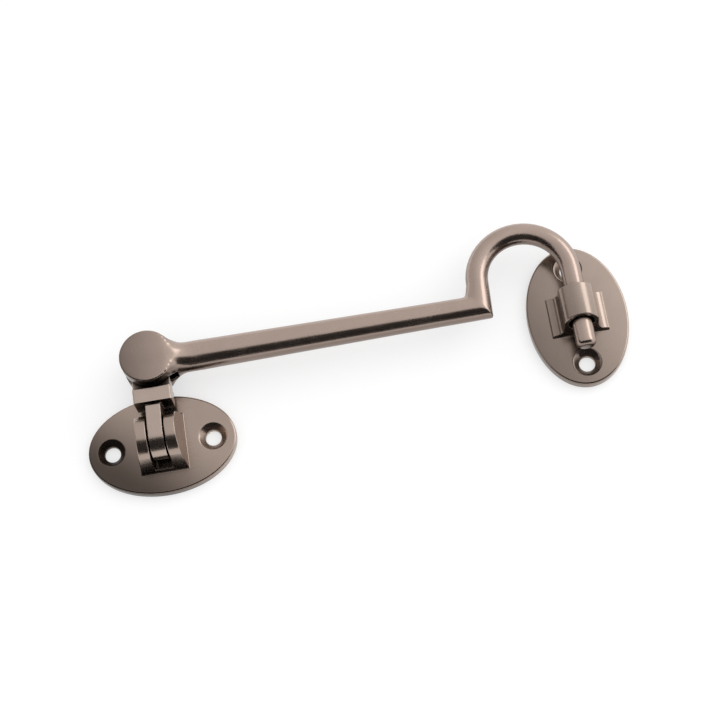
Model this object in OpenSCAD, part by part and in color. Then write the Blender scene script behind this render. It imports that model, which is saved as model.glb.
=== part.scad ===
// Double-jointed cabin hook with two oval screw plates, latched in its eye.
// The hook plate's back is the XY plane and its centre is the origin.
// The arm lies along +X, the link along +Y, and both plates lie on one flat surface.

/* [Oval plates] */
// Length of each oval plate
plate_length = 49.4; // [44:0.1:70]
// Width of each oval plate
plate_width = 33.5; // [30:0.1:44]
// Thickness of each plate
plate_thick = 3.5; // [3:0.1:4.5]
// Bevel round the front edge of each plate
plate_bevel = 0.5; // [0.2:0.1:1]
// Distance between the two screw holes of a plate
screw_spacing = 33.8; // [32:0.2:40]
// Diameter of a screw hole
screw_hole_d = 5.2; // [4:0.1:6]
// Diameter of a countersink at the plate's face
countersink_d = 9.4; // [8:0.1:10.5]

/* [Clevis] */
// Height of every joint axis over the back of the plates
axis_height = 10.8; // [10:0.1:14]
// Radius of the two lugs round the clevis pin
lug_radius = 7.6; // [6.5:0.1:8.5]
// Width of the clevis over both lugs, at their tops
clevis_top_width = 13; // [12:0.1:16]
// Width of the clevis at the plate
clevis_base_width = 15.8; // [14:0.1:18]
// Length of the clevis at the plate
clevis_base_length = 19; // [17:0.1:21]
// Thickness of the low lip at both ends of the slot
lip_thick = 1; // [0.5:0.1:1.4]
// Height of the lip over the plate
lip_height = 1.5; // [0.5:0.1:2]

/* [Link] */
// Thickness of the knuckle that turns between the lugs
knuckle_width = 4.9; // [4:0.1:6]
// How far the knuckle stays below the lugs
knuckle_recess = 0.4; // [0.2:0.1:1]
// Height of the web between the knuckle and the block
web_height = 9; // [4:0.1:10]
// Gap between the lugs and the block's shoulder
shoulder_gap = 3.6; // [3:0.1:6]
// Width of the block and of the blade
block_width = 12.6; // [10:0.1:13]
// Height of the block
block_height = 9; // [7:0.1:10.5]
// Thickness of the blade in the fork
blade_thick = 4.6; // [3.5:0.1:5.5]
// Rounding of the block's long edges
block_round = 0.5; // [0.2:0.1:1]

/* [Pins and running gaps] */
// Diameter of the clevis pin and of the fork pin
pin_d = 5; // [4:0.1:6]
// Radial play of a pin where a piece turns on it
running_play = 0.05; // [0.02:0.01:0.1]
// Radial play of a pin where it is driven in
driven_play = 0.01; // [0.01:0.01:0.02]
// Gap on each side of the knuckle
knuckle_gap = 0.55; // [0.2:0.05:0.8]
// Gap between the knuckle and the slot's floor
floor_gap = 0.4; // [0.2:0.05:0.8]
// Gap above and below the blade
blade_gap = 0.2; // [0.1:0.05:0.5]
// Metal left over the closed end of a pin hole
blind_wall = 1.2; // [0.8:0.1:1.6]

/* [Fork] */
// Diameter of the fork's round boss
boss_d = 17.9; // [15:0.1:21]
// Height of the boss
boss_height = 15.4; // [12:0.1:16]
// Rounding of the boss's edges
boss_round = 0.5; // [0.3:0.1:1.5]
// Gap between the boss and the link's block
boss_gap = 1; // [0.8:0.1:3]
// Gap in plan between the boss and the plate's edge
edge_gap = 0.5; // [0.3:0.1:3]
// How far the arm folds past the square position, in degrees
fold_past = 15; // [5:1:20]
// Radius of the fillet between the boss and the arm, seen from above
neck_fillet = 15; // [6:0.5:24]
// How far the neck reaches past the boss's rim
neck_reach = 6; // [3:0.1:10]
// Radius of the hollow where the neck drops to the arm, seen from the side
neck_hollow = 11; // [7:0.1:14]
// How much higher than wide the neck is
neck_rise = 1.24; // [1:0.02:1.4]
// How far the neck stays below the rounding of the boss's edges
rim_gap = 0.2; // [0.1:0.05:0.6]

/* [Hook] */
// Distance from the fork pin to the elbow
arm_length = 110.7; // [70:0.1:240]
// Diameter of the arm at its neck
arm_root_d = 10.4; // [9:0.1:11]
// Diameter of the arm at the elbow
arm_end_d = 8.3; // [7.4:0.1:9]
// Rise of the bend's centre above the arm's axis
leg_rise = 8.2; // [6:0.1:20]
// How far the rising leg leans outward on its way to the bend
leg_lean = 0.9; // [0:0.1:2]
// Radius of the hook's bend, at the rod's middle
bend_radius = 15.7; // [13:0.1:22]
// Diameter of the rod where the bend starts
bend_d = 7.6; // [6.8:0.1:8.2]
// Diameter of the tip
tip_d = 6.8; // [5.5:0.1:7.4]
// Distance from the bend's centre to the tip's end
tip_drop = 28; // [24:0.1:36]
// Rounding of the tip's end
tip_round = 1.6; // [0.5:0.1:2.2]

/* [Eye] */
// Distance from the bend's centre to the middle of the eye
eye_drop = 13.7; // [10:0.1:16]
// Radial play of the tip in the eye's bore
eye_play = 0.8; // [0.3:0.05:0.9]
// Wall of the eye's barrel
barrel_wall = 1.6; // [1.2:0.1:2.5]
// Length of the barrel at its top
barrel_length = 11.3; // [9:0.1:13]
// How far the barrel's top leans back over its foot
barrel_lean = 0.8; // [0:0.1:1]
// Width of the eye's foot at the plate
foot_width = 19; // [16:0.1:22]
// Length of the eye's foot at the plate
foot_length = 13.6; // [13:0.1:16]
// Height of the foot's edge over the plate
foot_edge = 0.9; // [0.4:0.1:1.5]

/* [Hidden] */
$fn = 64;
// Cuts run this far past a face
over = 1;
// Sides and rings of the swept leg and bend
sweep_sides = 40;
bend_rings = 24;
// The leg starts inside the arm, so it is a little thinner there, and the tip starts inside the bend
leg_share = 0.997;
tip_share = 1.006;
// How far the arm, the leg and the tip reach into each other
lap = 0.6;
mitre_lap = 0.04;

// Link: it is long enough for the boss to clear the plate's edge
knuckle_radius = lug_radius - knuckle_recess;
slot_width = knuckle_width + 2*knuckle_gap;
shoulder_y = lug_radius + shoulder_gap;
fork_y = plate_width/2 + edge_gap + boss_d/2;
block_end_y = fork_y - boss_d/2 - boss_gap;
block_length = block_end_y - shoulder_y;

// Fork: the slot is deep enough for the blade's corner when the arm folds past square
fork_slot = blade_thick + 2*blade_gap;
blade_reach = fork_y - block_end_y;
slot_clearance = 0.5;
slot_end = block_width/2*cos(fold_past) + blade_reach*sin(fold_past) + slot_clearance;
neck_end = boss_d/2 + neck_reach;
bore_d = pin_d + 2*running_play;
socket_d = pin_d + 2*driven_play;

// Hook: elbow, bend and tip, seen from above
elbow = [arm_length, fork_y];
bend_centre = [arm_length + leg_lean + bend_radius, fork_y + leg_rise];
tip_x = bend_centre[0] + bend_radius;
tip_end_y = bend_centre[1] - tip_drop;

// Eye: centred on the tip's axis
eye_y = bend_centre[1] - eye_drop;
eye_bore_d = tip_d + 2*eye_play;
barrel_radius = eye_bore_d/2 + barrel_wall;
barrel_top = axis_height + barrel_radius;

// A round bar with both rims rounded, standing on the XY plane
module rounded_disc(radius, height, rounding) {
    rotate_extrude() {
        square([radius - rounding, height]);
        translate([0, rounding]) square([radius, height - 2*rounding]);
        for (y = [rounding, height - rounding])
            translate([radius - rounding, y]) circle(r = rounding);
    }
}

// A box along Y with its four long edges rounded, centred on X and Z
module rounded_bar(width, height, length, rounding) {
    rotate([-90, 0, 0]) linear_extrude(length) {
        square([width - 2*rounding, height], center = true);
        square([width, height - 2*rounding], center = true);
        for (x = [-1, 1], z = [-1, 1])
            translate([x*(width/2 - rounding), z*(height/2 - rounding)]) circle(r = rounding);
    }
}

// An oval plate along X with two countersunk screw holes
module oval_plate() {
    difference() {
        scale([1, plate_width/plate_length, 1]) rotate_extrude()
            polygon([
                [0, 0],
                [plate_length/2, 0],
                [plate_length/2, plate_thick - plate_bevel],
                [plate_length/2 - plate_bevel, plate_thick],
                [0, plate_thick]
            ]);
        for (x = [-1, 1]) translate([x*screw_spacing/2, 0, 0]) screw_hole();
    }
}

// A screw hole with a right-angled countersink, as a cutter
module screw_hole() {
    sink_depth = (countersink_d - screw_hole_d)/2;
    translate([0, 0, -over]) cylinder(d = screw_hole_d, h = plate_thick + 2*over);
    translate([0, 0, plate_thick - sink_depth])
        cylinder(d1 = screw_hole_d, d2 = countersink_d, h = sink_depth);
    translate([0, 0, plate_thick]) cylinder(d = countersink_d, h = over);
}

// Both lugs' outer form: round over the pin, sloping out to the plate on all four sides
module clevis_form() {
    lug_top = axis_height + lug_radius;
    half_length = clevis_base_length/2;
    rise = axis_height - plate_thick;
    touch = acos(lug_radius/sqrt(pow(half_length, 2) + pow(rise, 2))) - atan2(rise, half_length);
    touch_y = lug_radius*cos(touch);
    touch_z = axis_height + lug_radius*sin(touch);
    intersection() {
        translate([-clevis_base_width/2, 0, 0]) rotate([90, 0, 90]) linear_extrude(clevis_base_width) {
            translate([0, axis_height]) circle(r = lug_radius);
            polygon([
                [-half_length, 0],
                [half_length, 0],
                [half_length, plate_thick],
                [touch_y, touch_z],
                [-touch_y, touch_z],
                [-half_length, plate_thick]
            ]);
        }
        translate([0, half_length, 0]) rotate([90, 0, 0]) linear_extrude(clevis_base_length)
            polygon([
                [-clevis_base_width/2, 0],
                [clevis_base_width/2, 0],
                [clevis_base_width/2, plate_thick],
                [clevis_top_width/2, lug_top],
                [-clevis_top_width/2, lug_top],
                [-clevis_base_width/2, plate_thick]
            ]);
    }
}

// The clevis pin's hole: open on the left, closed inside the right lug
module clevis_pin_bar(diameter) {
    translate([-clevis_base_width/2, 0, axis_height]) rotate([0, 90, 0])
        cylinder(d = diameter, h = clevis_base_width/2 + clevis_top_width/2 - blind_wall);
}

// Oval plate and clevis, one casting
module hook_plate() {
    slot_floor = axis_height - knuckle_radius - floor_gap;
    slot_top = axis_height + lug_radius + over;
    lip_top = plate_thick + lip_height;
    pocket_length = clevis_base_length - 2*lip_thick;
    color("#8d847b") difference() {
        union() {
            oval_plate();
            clevis_form();
        }
        translate([-slot_width/2, -pocket_length/2, slot_floor])
            cube([slot_width, pocket_length, slot_top - slot_floor]);
        translate([-slot_width/2, -clevis_base_length/2 - over, lip_top])
            cube([slot_width, clevis_base_length + 2*over, slot_top - lip_top]);
        clevis_pin_bar(socket_d);
    }
}

// Pin through the lugs and the knuckle, flush with the left lug
module clevis_pin() {
    color("#6f6860") intersection() {
        clevis_pin_bar(pin_d);
        clevis_form();
    }
}

// Knuckle, block and blade: the knuckle stands upright, the blade lies flat
module link() {
    color("#9a9087") translate([0, 0, axis_height]) difference() {
        union() {
            rotate([0, 90, 0]) cylinder(r = knuckle_radius, h = knuckle_width, center = true);
            translate([-knuckle_width/2, 0, -web_height/2])
                cube([knuckle_width, shoulder_y + block_length/2, web_height]);
            translate([0, shoulder_y, 0])
                rounded_bar(block_width, block_height, block_length, block_round);
            translate([-block_width/2, block_end_y - block_length/2, -blade_thick/2])
                cube([block_width, blade_reach + block_length/2, blade_thick]);
            translate([0, fork_y, -blade_thick/2]) cylinder(d = block_width, h = blade_thick);
        }
        rotate([0, 90, 0]) cylinder(d = bore_d, h = knuckle_width + 2*over, center = true);
        translate([0, fork_y, 0]) cylinder(d = bore_d, h = blade_thick + 2*over, center = true);
    }
}

// The fork pin's hole: open below, closed inside the upper cheek
module fork_pin_bar(diameter) {
    translate([0, fork_y, axis_height - boss_height/2])
        cylinder(d = diameter, h = boss_height - blind_wall);
}

// Pin through the fork and the blade, flush with the lower cheek
module fork_pin() {
    color("#6f6860") fork_pin_bar(pin_d);
}

// Neck: filleted between the boss and the arm in plan, and dropping to the arm in a hollow curve
module neck() {
    arm_r = arm_root_d/2;
    fillet_y = arm_r + neck_fillet;
    fillet_x = sqrt(pow(boss_d/2 + neck_fillet, 2) - pow(fillet_y, 2));
    touch_x = fillet_x*boss_d/(boss_d + 2*neck_fillet);
    low_r = arm_r/neck_rise;
    neck_height = boss_height - 2*boss_round - 2*rim_gap;
    translate([0, fork_y, axis_height]) intersection() {
        translate([0, 0, -neck_height/2]) linear_extrude(neck_height) difference() {
            translate([touch_x, -boss_d/2]) square([fillet_x - touch_x, boss_d]);
            for (side = [-1, 1]) translate([fillet_x, side*fillet_y]) circle(r = neck_fillet);
        }
        scale([1, 1, neck_rise]) rotate([0, 90, 0]) rotate_extrude() difference() {
            square([boss_d, neck_end]);
            translate([low_r + neck_hollow, neck_end]) circle(r = neck_hollow);
        }
    }
}

// One ring of the swept rod: its middle, the direction across it in plan, and its radius
function ring_points(station) = [
    for (i = [0 : sweep_sides - 1])
        let (turn = 360*i/sweep_sides, across = station[2]*station[1]*cos(turn))
        [station[0][0] + across[0], station[0][1] + across[1], axis_height + station[2]*sin(turn)]
];

// A closed skin over a row of rings
module sweep_rod(stations) {
    rings = len(stations);
    points = [for (station = stations) each ring_points(station)];
    sides = [
        for (k = [0 : rings - 2], i = [0 : sweep_sides - 1])
            let (j = (i + 1) % sweep_sides, a = k*sweep_sides, b = (k + 1)*sweep_sides)
            [a + i, b + i, b + j, a + j]
    ];
    first_cap = [for (i = [0 : sweep_sides - 1]) i];
    last_cap = [for (i = [sweep_sides - 1 : -1 : 0]) (rings - 1)*sweep_sides + i];
    polyhedron(points, concat([first_cap], sides, [last_cap]), convexity = 6);
}

// Arm: a tapered rod, mitred at the elbow
module arm_rod() {
    arm_end_x = arm_length + arm_end_d/2;
    difference() {
        translate([slot_end, fork_y, axis_height]) rotate([0, 90, 0])
            cylinder(d1 = arm_root_d, d2 = arm_end_d, h = arm_end_x + over - slot_end);
        translate([elbow[0], elbow[1], 0]) rotate([0, 0, 45]) translate([mitre_lap, -boss_d, 0])
            cube([boss_d, 2*boss_d, 2*axis_height]);
    }
}

// Leg and bend: up from the mitre, then evenly tapered round the bend and down into the eye
module leg_and_bend() {
    leg_r = arm_end_d/2*leg_share;
    bend_r = bend_d/2;
    tip_r = tip_d/2*tip_share;
    root = [elbow - [lap, lap], [-1, 1], leg_r - lap];
    mitre = [elbow, [-1, 1], leg_r];
    bend = [
        for (k = [0 : bend_rings])
            let (share = k/bend_rings, turn = 180 - 180*share, out = [cos(turn), sin(turn)])
            [bend_centre + bend_radius*out, out, bend_r + (tip_r - bend_r)*share]
    ];
    end = [[tip_x, eye_y], [1, 0], tip_r];
    sweep_rod(concat([root, mitre], bend, [end]));
}

// Fork, arm, bend and tip, one forging
module hook_arm() {
    color("#948a80") difference() {
        union() {
            translate([0, fork_y, axis_height - boss_height/2])
                rounded_disc(boss_d/2, boss_height, boss_round);
            neck();
            arm_rod();
            leg_and_bend();
            translate([tip_x, tip_end_y, axis_height]) rotate([-90, 0, 0])
                rounded_disc(tip_d/2, tip_drop - eye_drop + lap, tip_round);
        }
        translate([-boss_d, fork_y - boss_d, axis_height - fork_slot/2])
            cube([boss_d + slot_end, 2*boss_d, fork_slot]);
        fork_pin_bar(socket_d);
    }
}

// The eye's outer form: a barrel that sweeps out to its foot in a hollow on both sides
module eye_form() {
    hollow = foot_width/2 - barrel_radius;
    hollow_z = plate_thick + foot_edge + hollow;
    intersection() {
        translate([0, foot_length/2, 0]) rotate([90, 0, 0]) linear_extrude(foot_length) {
            translate([0, axis_height]) circle(r = barrel_radius);
            translate([-barrel_radius, 0]) square([2*barrel_radius, axis_height]);
            difference() {
                translate([-foot_width/2, 0]) square([foot_width, hollow_z]);
                for (side = [-1, 1]) translate([side*foot_width/2, hollow_z]) circle(r = hollow);
            }
        }
        translate([-foot_width/2, 0, 0]) rotate([90, 0, 90]) linear_extrude(foot_width)
            polygon([
                [-foot_length/2, 0],
                [foot_length/2, 0],
                [foot_length/2, plate_thick],
                [barrel_lean + barrel_length/2, barrel_top],
                [barrel_lean - barrel_length/2, barrel_top],
                [-foot_length/2, plate_thick]
            ]);
    }
}

// Oval plate and eye, one casting, with the bore along the plate
module eye_plate() {
    color("#8d847b") translate([tip_x, eye_y, 0]) difference() {
        union() {
            rotate([0, 0, 90]) oval_plate();
            eye_form();
        }
        translate([0, 0, axis_height]) rotate([90, 0, 0])
            cylinder(d = eye_bore_d, h = foot_length + 2*over, center = true);
    }
}

hook_plate();
clevis_pin();
link();
fork_pin();
hook_arm();
eye_plate();
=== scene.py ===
# %% [markdown]
# # A double-jointed cabin hook in satin nickel, latched in its eye
#
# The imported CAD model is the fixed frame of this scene. Every piece below is in metres and in
# the CAD's own coordinates: the hook plate's back is the XY plane, the link runs along +Y and
# the arm along +X. So a piece needs no fitting, and this lesson is about looks: soft edges,
# satin metal and the light that a metal needs to be read.

# %% Load the frame
import math

import bmesh
import bpy
from mathutils import Matrix, Vector


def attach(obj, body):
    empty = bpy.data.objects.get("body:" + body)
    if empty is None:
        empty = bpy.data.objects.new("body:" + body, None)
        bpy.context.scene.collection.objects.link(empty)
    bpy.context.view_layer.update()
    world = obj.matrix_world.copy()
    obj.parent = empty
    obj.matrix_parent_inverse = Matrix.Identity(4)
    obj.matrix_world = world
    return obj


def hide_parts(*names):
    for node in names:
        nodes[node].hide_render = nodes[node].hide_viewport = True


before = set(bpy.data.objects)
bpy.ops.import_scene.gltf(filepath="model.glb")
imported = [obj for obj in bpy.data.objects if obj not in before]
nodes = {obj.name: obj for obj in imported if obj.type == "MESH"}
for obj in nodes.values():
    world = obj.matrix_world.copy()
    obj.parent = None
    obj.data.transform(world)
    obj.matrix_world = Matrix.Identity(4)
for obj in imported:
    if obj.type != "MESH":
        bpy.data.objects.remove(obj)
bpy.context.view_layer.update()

MM = 0.001
print("CAD nodes:", ", ".join(sorted(nodes)))

# %% [markdown]
# ## The camera
#
# The photograph looks down at the hook from in front, and the camera is rolled so that the arm
# climbs to the right. One could drag a camera about until it fits. Here its angles, distance and
# lens were found by laying the model's outline over the photograph's, and they are written down
# as plain numbers, so the view can be repeated.

# %% Camera
AIM = Vector((68.9356, 19.087, 0)) * MM
ELEVATION = math.radians(69.232)
AZIMUTH = math.radians(0.5329)
ROLL = math.radians(-10.0682)
DISTANCE = 600 * MM
SENSOR = 36
FRAME_PIXELS = 720
FOCAL_PIXELS = 1788.913
LENS = FOCAL_PIXELS / FRAME_PIXELS * SENSOR

level = math.cos(ELEVATION)
back = Vector((math.sin(AZIMUTH) * level, -math.cos(AZIMUTH) * level, math.sin(ELEVATION)))
right = Vector((math.cos(AZIMUTH), math.sin(AZIMUTH), 0))
up = back.cross(right)
across = right * math.cos(ROLL) + up * math.sin(ROLL)
upward = up * math.cos(ROLL) - right * math.sin(ROLL)

camera_data = bpy.data.cameras.new("photo_camera")
camera_data.sensor_width = SENSOR
camera_data.lens = LENS
camera_data.clip_start = 0.01
camera_data.clip_end = 10
camera = bpy.data.objects.new("photo_camera", camera_data)
bpy.context.scene.collection.objects.link(camera)
turn = Matrix((across, upward, back)).transposed().to_4x4()
camera.matrix_world = Matrix.Translation(AIM + back * DISTANCE) @ turn
bpy.context.scene.camera = camera
print("camera at", [round(v / MM) for v in camera.location], "mm, lens", round(LENS, 1), "mm")

# %% [markdown]
# ## Soft edges
#
# Castings are tumbled and brushed before they are plated, so no edge on them is sharp. A render
# shows that at once: a rounded edge carries a thin line of light or dark. A Bevel modifier with
# an angle limit could do it. Here each piece is a copy of its CAD node, its doubles are merged,
# and the Bevel operator rounds the edges that code selects by how far they bend, as one would
# pick them by hand in edit mode.

# %% Copy, round and finish
SHARP_BEND = 28
SMOOTH_BEND = 40


def copy_of(node_name, piece_name):
    """A merged copy of a CAD node, its flat areas cleaned of the triangles in them."""
    bpy.ops.object.select_all(action="DESELECT")
    piece = bpy.data.objects.new(piece_name, nodes[node_name].data.copy())
    bpy.context.scene.collection.objects.link(piece)
    piece.select_set(True)
    bpy.context.view_layer.objects.active = piece
    bpy.ops.mesh.customdata_custom_splitnormals_clear()
    bpy.ops.object.mode_set(mode="EDIT")
    bpy.ops.mesh.select_all(action="SELECT")
    bpy.ops.mesh.remove_doubles(threshold=0.001 * MM)
    bpy.ops.mesh.dissolve_limited(angle_limit=math.radians(0.3))
    bpy.ops.object.mode_set(mode="OBJECT")
    return piece


def round_over(piece, width, segments):
    """Bevels each ridge and each inner corner that bends by more than SHARP_BEND degrees."""
    bpy.ops.object.mode_set(mode="EDIT")
    bpy.ops.mesh.select_mode(type="EDGE")
    bpy.ops.mesh.select_all(action="DESELECT")
    mesh = bmesh.from_edit_mesh(piece.data)
    picked = 0
    for edge in mesh.edges:
        if len(edge.link_faces) == 2:
            bend = math.degrees(edge.calc_face_angle_signed())
            if abs(bend) > SHARP_BEND:
                edge.select_set(True)
                picked += 1
    bmesh.update_edit_mesh(piece.data)
    bpy.ops.mesh.bevel(offset=width * MM, segments=segments, profile=0.5, clamp_overlap=False)
    bpy.ops.object.mode_set(mode="OBJECT")
    print(piece.name, "rounded edges:", picked)


def finish_piece(piece, body, slot, *replaced):
    """Smooth shading that keeps flat faces flat, then the piece takes its node's place."""
    bpy.ops.object.shade_smooth_by_angle(angle=math.radians(SMOOTH_BEND))
    modifier = piece.modifiers.new("flat faces stay flat", "WEIGHTED_NORMAL")
    modifier.keep_sharp = True
    bpy.ops.object.modifier_apply(modifier=modifier.name)
    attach(piece, body)
    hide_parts(*replaced)
    print(piece.name, "on", body, "has", len(piece.data.polygons), "faces")


# %% [markdown]
# ## The two castings
#
# Each oval plate is cast in one with what stands on it: two lugs for the link's pin, or the eye.
# Rims and corners that stand out are rounded, and so is the inner corner where a lug or the
# eye's foot meets the plate, as a mould leaves it.

# %% Hook plate and eye plate
CAST_ROUND = 0.35
CAST_STEPS = 3

hook_plate = copy_of("hook_plate", "hook_plate_casting")
round_over(hook_plate, CAST_ROUND, CAST_STEPS)
finish_piece(hook_plate, "hook_plate", "satin_nickel", "hook_plate")

eye_plate = copy_of("eye_plate", "eye_plate_casting")
round_over(eye_plate, CAST_ROUND, CAST_STEPS)
finish_piece(eye_plate, "eye_plate", "satin_nickel", "eye_plate")

# %% [markdown]
# ## The two pins
#
# One pin goes through the lugs, and the other goes up into the boss. Both are turned and driven
# in flush, so only a round end shows. A new cylinder would have to be measured again, so a copy
# of each CAD pin gets the broken edge that lets a pin start in its hole.

# %% Pins
PIN_ROUND = 0.25
PIN_STEPS = 2

clevis_pin = copy_of("clevis_pin", "clevis_pin_flush")
round_over(clevis_pin, PIN_ROUND, PIN_STEPS)
finish_piece(clevis_pin, "hook_plate", "pin_nickel", "clevis_pin")

fork_pin = copy_of("fork_pin", "fork_pin_flush")
round_over(fork_pin, PIN_ROUND, PIN_STEPS)
finish_piece(fork_pin, "hook_arm", "pin_nickel", "fork_pin")

# %% [markdown]
# ## The forged hook
#
# Boss, neck, arm and bend are one forging, and on the real hook they flow into each other: a
# brush has run over every ridge. Bevelling each of those edges would be slow work, because they
# run into each other at all angles. A Remesh modifier lays one even skin of small squares over
# the whole form instead, and smoothing then rounds it: a little everywhere, longer along the arm
# and furthest at the neck. The elbow keeps its mitre, with a broken ridge and a softer inner
# corner. A long brushing goes in several rounds, each on a smaller area, because a single one
# would leave a step where it ends.


# %% Skin and brush
def even_skin(piece, square):
    """Lays a skin of squares, square mm wide, over the whole form."""
    skin = piece.modifiers.new("even skin", "REMESH")
    skin.mode = "VOXEL"
    skin.voxel_size = square * MM
    bpy.ops.object.modifier_apply(modifier=skin.name)


def brush_over(piece, repeat, chosen):
    """Smooths the points that chosen(place in mm) picks, as a brush rounds what it runs over."""
    bpy.ops.object.mode_set(mode="EDIT")
    bpy.ops.mesh.select_mode(type="VERT")
    bpy.ops.mesh.select_all(action="DESELECT")
    mesh = bmesh.from_edit_mesh(piece.data)
    picked = 0
    for vert in mesh.verts:
        if chosen(vert.co / MM):
            vert.select_set(True)
            picked += 1
    bmesh.update_edit_mesh(piece.data)
    bpy.ops.mesh.vertices_smooth(factor=0.5, repeat=repeat)
    bpy.ops.object.mode_set(mode="OBJECT")
    print(piece.name, "brushed points:", picked)


# %% Hook
HOOK_SQUARE = 0.31
AXIS_Z = 10.8
SLOT_HALF = 3
SLOT_END_X = 9.8
ARM_START_X = 16
ARM_END_X = 105
NECK = Vector((10, 26.2))
ELBOW = Vector((110.7, 26.2))
ELBOW_END_X = 113
INNER_CORNER = Vector((106.5, 30.4))
CORNER_REACH = 3


def everywhere(place):
    return True


def outside_slot(place):
    return place.x >= SLOT_END_X or abs(place.z - AXIS_Z) >= SLOT_HALF


def on_mitre(place):
    off_mitre = abs(place.x - ELBOW.x + place.y - ELBOW.y)
    return place.x < ELBOW_END_X and off_mitre < CORNER_REACH


def at_inner_corner(place):
    return (place.xy - INNER_CORNER).length < CORNER_REACH


hook = copy_of("hook_arm", "forged_hook")
even_skin(hook, HOOK_SQUARE)
brush_over(hook, 4, everywhere)
for margin in (0, 2, 4, 6):
    brush_over(hook, 12, lambda place: ARM_START_X + margin < place.x < ARM_END_X - margin)
for reach, repeat in ((8.5, 20), (7, 40), (5.5, 60), (4, 80)):
    brush_over(hook, repeat, lambda place: (
        (place.xy - NECK).length < reach and outside_slot(place)))
brush_over(hook, 8, on_mitre)
brush_over(hook, 16, at_inner_corner)
finish_piece(hook, "hook_arm", "satin_nickel", "hook_arm")

# %% [markdown]
# ## The link
#
# The link is milled in one piece: an upright knuckle between the lugs, a web, a square block and
# a flat blade in the fork. The web is nearly as high as the knuckle, and it slopes down to a
# narrow gap before the block. A bar whose top is tilted in edit mode makes that web, a Boolean
# modifier cuts the gap, and the same even skin as on the hook makes bar and link one form. Only
# a short brushing follows, because milled edges are broken and not rounded far.


# %% Link
def bar(name, low, high):
    """A square bar between two corners in mm."""
    bpy.ops.object.select_all(action="DESELECT")
    low = Vector(low)
    high = Vector(high)
    bpy.ops.mesh.primitive_cube_add(size=MM, location=(low + high) / 2 * MM, scale=high - low)
    bpy.context.object.name = name
    bpy.ops.object.transform_apply(location=True, rotation=True, scale=True)
    return bpy.context.object


LINK_SQUARE = 0.2
WEB_LOW = Vector((-2.45, 1.62, 13))
WEB_HIGH = Vector((2.45, 9.9, 17.81))
WEB_DROP = 1.91
GAP_LOW = (-3, 10.2, 13.6)
GAP_HIGH = (3, 11.2, 16)

web = bar("web", WEB_LOW, WEB_HIGH)
middle = (WEB_LOW + WEB_HIGH) / 2 * MM
bpy.ops.object.mode_set(mode="EDIT")
bpy.ops.mesh.select_mode(type="VERT")
bpy.ops.mesh.select_all(action="DESELECT")
mesh = bmesh.from_edit_mesh(web.data)
for vert in mesh.verts:
    vert.select_set(vert.co.y > middle.y and vert.co.z > middle.z)
bmesh.update_edit_mesh(web.data)
bpy.ops.transform.translate(value=(0, 0, -WEB_DROP * MM))
bpy.ops.object.mode_set(mode="OBJECT")

gap = bar("gap", GAP_LOW, GAP_HIGH)
link = copy_of("link", "link_with_blade")
cut = link.modifiers.new("gap", "BOOLEAN")
cut.operation = "DIFFERENCE"
cut.object = gap
bpy.ops.object.modifier_apply(modifier=cut.name)
bpy.data.objects.remove(gap)
web.select_set(True)
bpy.ops.object.join()
even_skin(link, LINK_SQUARE)
brush_over(link, 2, everywhere)
finish_piece(link, "link", "satin_nickel", "link")

# %% [markdown]
# ## Colours and nodes
#
# Colours are written as sRGB hex, as any colour picker gives them, and one function turns them to
# the linear values that shaders work in. A second small function adds a node with its settings
# and its links, so that a material below reads from top to bottom like a recipe.


# %% Helpers for materials
def linear(hex_colour):
    """An sRGB hex colour as linear RGBA."""
    parts = [int(hex_colour[i:i + 2], 16) / 255 for i in (1, 3, 5)]
    return [p / 12.92 if p <= 0.04045 else ((p + 0.055) / 1.055) ** 2.4 for p in parts] + [1]


def add(tree, kind, settings=None, sockets=None):
    """Adds a node, sets its properties, then fills or links its input sockets."""
    node = tree.nodes.new(kind)
    for name, value in (settings or {}).items():
        setattr(node, name, value)
    for name, value in (sockets or {}).items():
        if isinstance(value, bpy.types.NodeSocket):
            tree.links.new(value, node.inputs[name])
        else:
            node.inputs[name].default_value = value
    return node


# %% [markdown]
# ## Satin nickel
#
# Nickel plate is a warm grey metal. Brushed with fine grit and left without lacquer, it has no
# mirror image but long soft highlights, a slight cloudiness and brighter edges where a cloth
# always reaches. Shade is painted into its colour as well: in corners, towards one side of each
# piece and on the hook's flanks. A single grey would look like plastic, so each of these is a few
# nodes, and they meet in the base colour. The clouds and the brush lines are noise on Object
# coordinates, so they stay on the piece when it moves. The painted corner shade and the bright
# edges come from Ambient Occlusion, which measures how hidden or how exposed a point is.

# %% Satin nickel
CLOUD_SIZE = 9
EDGE_REACH = 0.6


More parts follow.
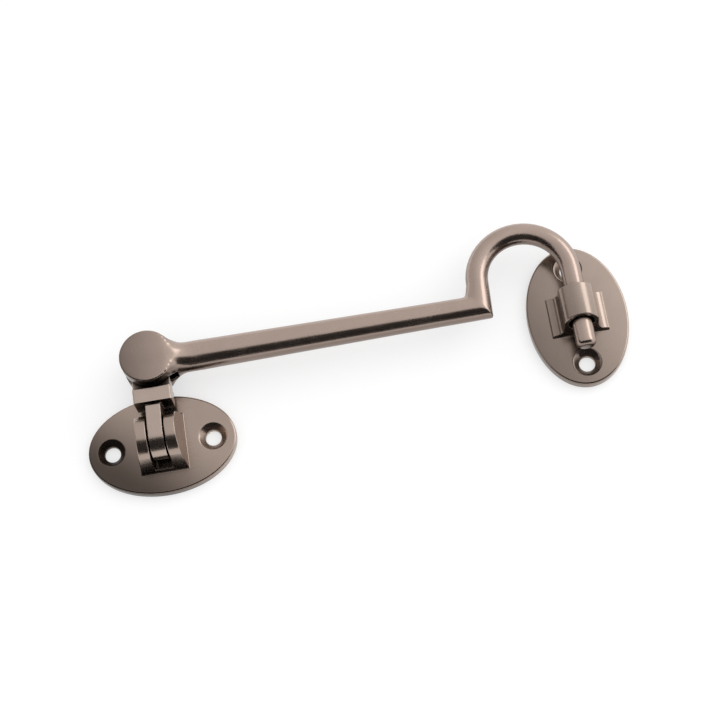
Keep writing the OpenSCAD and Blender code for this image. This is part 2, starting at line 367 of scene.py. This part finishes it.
def satin_nickel(name, colour, lay, painted_corner_shade, painted_side_shade):
    """Brushed nickel: lay is a brush line's size in mm; the corner and side shade tuples say where
    shade is painted into the colour.
    """
    # Two tones, the colour of painted shade and the worn edge; the two shade tuples say where that
    # shade is painted
    first_tone, second_tone, shade_colour, worn_edge = [linear(value) for value in colour]
    shade_reach, hidden, free = painted_corner_shade
    shade_start, shade_end, side_share, flank_share = painted_side_shade
    material = bpy.data.materials.new(name)
    material.use_nodes = True
    tree = material.node_tree
    shader = tree.nodes["Principled BSDF"]
    shader.inputs["Metallic"].default_value = 1
    coordinates = add(tree, "ShaderNodeTexCoord").outputs
    place = coordinates["Object"]

    # Clouds, in tone and in gloss
    clouds = add(tree, "ShaderNodeTexNoise", None, {
        "Vector": place, "Scale": 1 / (CLOUD_SIZE * MM), "Detail": 4, "Roughness": 0.6,
    }).outputs["Fac"]
    tone = add(tree, "ShaderNodeMix", {"data_type": "RGBA"}, {
        "Factor": clouds, 6: first_tone, 7: second_tone,
    }).outputs[2]

    # Painted side shade: the colour darkens towards the less lit side of the piece
    shade_direction = shade_end - shade_start
    along = add(tree, "ShaderNodeVectorMath", {"operation": "DOT_PRODUCT"}, {
        0: place, 1: shade_direction / MM,
    }).outputs["Value"]
    side_unshaded = add(tree, "ShaderNodeMapRange", {"interpolation_type": "SMOOTHSTEP"}, {
        "Value": along, "To Min": side_share, "To Max": 1,
        "From Min": shade_start.dot(shade_direction), "From Max": shade_end.dot(shade_direction),
    }).outputs["Result"]

    # Painted flank shade: what faces sideways or down is darker than the top
    facing = add(tree, "ShaderNodeSeparateXYZ", None, {0: coordinates["Normal"]}).outputs["Z"]
    topside = add(tree, "ShaderNodeMapRange", {"interpolation_type": "SMOOTHSTEP"}, {
        "Value": facing, "From Min": 0.35, "From Max": 0.65, "To Min": flank_share, "To Max": 1,
    }).outputs["Result"]
    kept = add(tree, "ShaderNodeMath", {"operation": "MULTIPLY"}, {0: side_unshaded, 1: topside})
    tone = add(tree, "ShaderNodeMix", {"data_type": "RGBA"}, {
        "Factor": kept.outputs[0], 6: shade_colour, 7: tone,
    }).outputs[2]

    # Brush lines: real ones are about 0.03 mm wide, drawn over ten times wider so that they show
    stretched = add(tree, "ShaderNodeMapping", None, {
        "Vector": place, "Scale": [1 / (size * MM) for size in lay],
    }).outputs["Vector"]
    lines = add(tree, "ShaderNodeTexNoise", None, {
        "Vector": stretched, "Scale": 1, "Detail": 2, "Roughness": 0.5,
    }).outputs["Fac"]

    # Painted shade in corners: dark where little of the surroundings is open
    open_share = add(tree, "ShaderNodeAmbientOcclusion", {"samples": 8}, {
        "Distance": shade_reach * MM,
    }).outputs["AO"]
    unshaded = add(tree, "ShaderNodeMapRange", {"interpolation_type": "SMOOTHSTEP"}, {
        "Value": open_share, "From Min": hidden, "From Max": free, "To Min": 0, "To Max": 1,
    }).outputs["Result"]
    corner_shaded = add(tree, "ShaderNodeMix", {"data_type": "RGBA"}, {
        "Factor": unshaded, 6: shade_colour, 7: tone,
    }).outputs[2]

    # Bright edges: looking into the metal, a point near an edge soon sees the other side
    enclosed = add(tree, "ShaderNodeAmbientOcclusion", {"samples": 8, "inside": True}, {
        "Distance": EDGE_REACH * MM,
    }).outputs["AO"]
    edge = add(tree, "ShaderNodeMapRange", None, {
        "Value": enclosed, "From Min": 0.4, "From Max": 0.9, "To Min": 0.6, "To Max": 0,
    }).outputs["Result"]
    worn = add(tree, "ShaderNodeMix", {"data_type": "RGBA"}, {
        "Factor": edge, 6: corner_shaded, 7: worn_edge,
    }).outputs[2]
    tree.links.new(worn, shader.inputs["Base Color"])

    # Gloss: satin, a little duller in the clouds and uneven along the brush lines
    gloss = add(tree, "ShaderNodeMapRange", None, {
        "Value": clouds, "From Min": 0.3, "From Max": 0.7, "To Min": 0.2, "To Max": 0.28,
    }).outputs["Result"]
    grain = add(tree, "ShaderNodeMapRange", None, {
        "Value": lines, "From Min": 0.3, "From Max": 0.7, "To Min": -0.03, "To Max": 0.03,
    }).outputs["Result"]
    add_up = add(tree, "ShaderNodeMath", {"operation": "ADD"}, {0: gloss, 1: grain})
    tree.links.new(add_up.outputs[0], shader.inputs["Roughness"])
    bump = add(tree, "ShaderNodeBump", None, {
        "Height": lines, "Strength": 0.12, "Distance": 0.01 * MM,
    }).outputs["Normal"]
    tree.links.new(bump, shader.inputs["Normal"])
    return material


# %% [markdown]
# ## One finish, six pieces
#
# The same plating looks different on a casting, a milled face and a forging, because each was
# brushed and is handled in its own way. A copy of the material for every piece would drift apart,
# so one function makes them all, and the table gives each piece its tones, the lay of its brush
# lines, how far its painted corner shade reaches and which side is painted darker.

# %% Materials
# Two tones of the clouds, the painted shade and the worn edge
CASTING = ("#A19085", "#B09E93", "#100B08", "#C8B7AB")
# The eye plate's tones: a paler copy of the casting's
PALE_CASTING = ("#B19F94", "#C0AEA2", "#100B08", "#D0BFB3")
FORGING = ("#A69489", "#B5A298", "#100B08", "#C8B7AB")
MILLED = ("#AE9D92", "#BBA99E", "#100B08", "#D0BFB3")

# Reach in mm, and the open shares at which a corner is fully in painted shade and fully unshaded
OPEN = (3, 0.1, 0.62)
NARROW = (6, 0.3, 0.85)

# Brush lines along X or along Y, and the rings on a turned pin
ACROSS = (8, 0.4, 0.4)
ALONG = (0.4, 8, 0.4)
RINGS_ON_X = (0.4, 2, 2)
RINGS_ON_Z = (2, 2, 0.4)

# From the darkest painted place to the unshaded one in mm, then the share left unshaded there and on
# the flanks
HOOK_PLATE_SIDE = (Vector((-4.2, -4.9, -5.2)), Vector((2, 2.4, 7.7)), 0.2, 1)
EYE_PLATE_SIDE = (Vector((118, 4, 0)), Vector((170, 24, 0)), 0.33, 1)
BOSS_SIDE = (Vector((-14, 24, 0)), Vector((12, 27, 0)), 0.4, 0.55)
LINK_SIDE = (Vector((-12, 0, 0)), Vector((0, 4, 0)), 0.8, 1)

for piece, name, colour, lay, painted_corner_shade, painted_side_shade in (
    # Cast and brushed across: even flats, painted darker low down and towards the front left
    (hook_plate, "satin_nickel_plated_casting_across", CASTING, ACROSS, OPEN, HOOK_PLATE_SIDE),
    # Cast and brushed along: paler tones, and painted darker only towards the left
    (eye_plate, "satin_nickel_plated_casting_along", PALE_CASTING, ALONG, OPEN, EYE_PLATE_SIDE),
    # Milled: pale flat faces with painted shade in the gaps between them
    (link, "satin_nickel_plated_milled_link", MILLED, ALONG, NARROW, LINK_SIDE),
    # Forged and brushed lengthwise: long highlights on the arm over flanks painted darker
    (hook, "satin_nickel_plated_forging", FORGING, ACROSS, NARROW, BOSS_SIDE),
    # Turned: fine rings round the pin, and a nearly plain disc on its flush end
    (clevis_pin, "turned_nickel_pin_across", FORGING, RINGS_ON_X, OPEN, BOSS_SIDE),
    (fork_pin, "turned_nickel_pin_upright", FORGING, RINGS_ON_Z, OPEN, BOSS_SIDE),
):
    piece.data.materials.clear()
    piece.data.materials.append(satin_nickel(name, colour, lay, painted_corner_shade, painted_side_shade))
    print(piece.name, "is", name)

# %% [markdown]
# ## The floor
#
# The photograph's ground is white. A white floor under strong lamps would burn the metal out, so
# a pale matt floor gets the rest of its brightness as a glow. Light Path shows the full glow only
# where the floor is seen: by the camera, in a reflection or through something clear. As a light
# on the object the glow is weak, and the floor's matt part keeps a soft shadow under the hook.

# %% Floor
FLOOR_RADIUS = 0.6
FLOOR_CENTRE = (0.07, 0.02, -0.05 * MM)
WEAK_GLOW = 0.15
FULL_GLOW = 0.56

bpy.ops.object.select_all(action="DESELECT")
bpy.ops.mesh.primitive_circle_add(
    vertices=96, radius=FLOOR_RADIUS, fill_type="NGON", location=FLOOR_CENTRE,
)
floor = bpy.context.object
floor.name = "pale_floor"

# Pale matt card: no shine, an even ground that takes a soft shadow
floor_material = bpy.data.materials.new("pale_matt_card")
floor_material.use_nodes = True
tree = floor_material.node_tree
tree.nodes.clear()
path = add(tree, "ShaderNodeLightPath").outputs
direct = add(tree, "ShaderNodeMath", {"operation": "MAXIMUM"}, {
    0: path["Is Camera Ray"], 1: path["Is Glossy Ray"],
}).outputs[0]
seen = add(tree, "ShaderNodeMath", {"operation": "MAXIMUM"}, {
    0: direct, 1: path["Is Transmission Ray"],
}).outputs[0]
glow = add(tree, "ShaderNodeMapRange", None, {
    "Value": seen, "To Min": WEAK_GLOW, "To Max": FULL_GLOW,
}).outputs["Result"]
matt = add(tree, "ShaderNodeBsdfDiffuse", None, {"Color": linear("#BBBBBB")})
lit = add(tree, "ShaderNodeEmission", None, {"Color": (1, 1, 1, 1), "Strength": glow})
both = add(tree, "ShaderNodeAddShader", None, {0: matt.outputs[0], 1: lit.outputs[0]})
add(tree, "ShaderNodeOutputMaterial", None, {"Surface": both.outputs[0]})
floor.data.materials.append(floor_material)
print("floor", [round(v, 2) for v in floor.dimensions], "m")

# %% [markdown]
# ## Dark cards
#
# A metal looks like what stands round it. The dark line along the arm is the unlit side of the
# studio. The room could be painted dark there, but cards are easier to place, as a photographer
# does it: a wide one leans over from the front, and two smaller ones stand on the left. The camera
# doesn't see them, and they cast no shadow: they are only there to be reflected.

# %% Dark cards
# Black matt card: dark from every side, so that its reflection is a dark band
card_material = bpy.data.materials.new("black_matt_card")
card_material.use_nodes = True
card_shader = card_material.node_tree.nodes["Principled BSDF"]
card_shader.inputs["Base Color"].default_value = linear("#0A0A0A")
card_shader.inputs["Roughness"].default_value = 0.9


def dark_card(name, centre, size, tilt, heading):
    """A card that only reflections see; tilt and heading are in degrees."""
    bpy.ops.object.select_all(action="DESELECT")
    turn = (math.radians(tilt), 0, math.radians(heading))
    bpy.ops.mesh.primitive_plane_add(size=1, location=centre, rotation=turn)
    card = bpy.context.object
    card.name = name
    card.scale = (size[0], size[1], 1)
    card.data.materials.append(card_material)
    card.visible_camera = False
    card.visible_diffuse = False
    card.visible_shadow = False
    print(name, "at", centre)


dark_card("front_card", (0.07, -0.459, 0.361), (1.8, 0.84), 53, 0)
dark_card("left_front_card", (-0.361, -0.268, 0.23), (0.42, 0.4), 90, 122)
dark_card("low_left_card", (-0.46, -0.135, 0.145), (0.7, 0.25), 90, 105)

# %% [markdown]
# ## Room and lamp
#
# The room is plain and bright all round, and a little brighter on the right, where the
# photograph's light comes from. A picture of a studio could light it too. Here the dot product of
# a direction with that side gives a smooth change, and nothing has to be loaded. One soft lamp
# stands to the right and behind, low enough to draw a bright line on the bend and on the eye.

# %% Room and lamp
BRIGHT_SIDE = Vector((1, 0, 0))
LEFT_LEVEL = 0.75
RIGHT_LEVEL = 1.1
LAMP_PLACE = Vector((0.67, 0.29, 0.4))
LAMP_AIM = Vector((0.07, 0.02, 0))

world = bpy.data.worlds.new("studio")
bpy.context.scene.world = world
world.use_nodes = True
tree = world.node_tree
tree.nodes.clear()
toward = add(tree, "ShaderNodeTexCoord").outputs["Generated"]
side = add(tree, "ShaderNodeVectorMath", {"operation": "DOT_PRODUCT"}, {
    0: toward, 1: BRIGHT_SIDE,
}).outputs["Value"]
room = add(tree, "ShaderNodeMapRange", None, {
    "Value": side, "From Min": -0.5, "From Max": 0.5, "To Min": LEFT_LEVEL, "To Max": RIGHT_LEVEL,
}).outputs["Result"]
sky = add(tree, "ShaderNodeBackground", None, {"Color": (1, 1, 1, 1), "Strength": room})
add(tree, "ShaderNodeOutputWorld", None, {"Surface": sky.outputs[0]})

lamp_data = bpy.data.lights.new("right_softbox", "AREA")
lamp_data.shape = "RECTANGLE"
lamp_data.size = 0.6
lamp_data.size_y = 0.35
lamp_data.energy = 0.95
lamp = bpy.data.objects.new("right_softbox", lamp_data)
bpy.context.scene.collection.objects.link(lamp)
lamp.location = LAMP_PLACE
lamp.rotation_euler = (LAMP_AIM - LAMP_PLACE).to_track_quat("-Z", "Y").to_euler()
print("softbox at", [round(v, 2) for v in lamp.location], "m")

bpy.context.scene.view_settings.view_transform = "Standard"
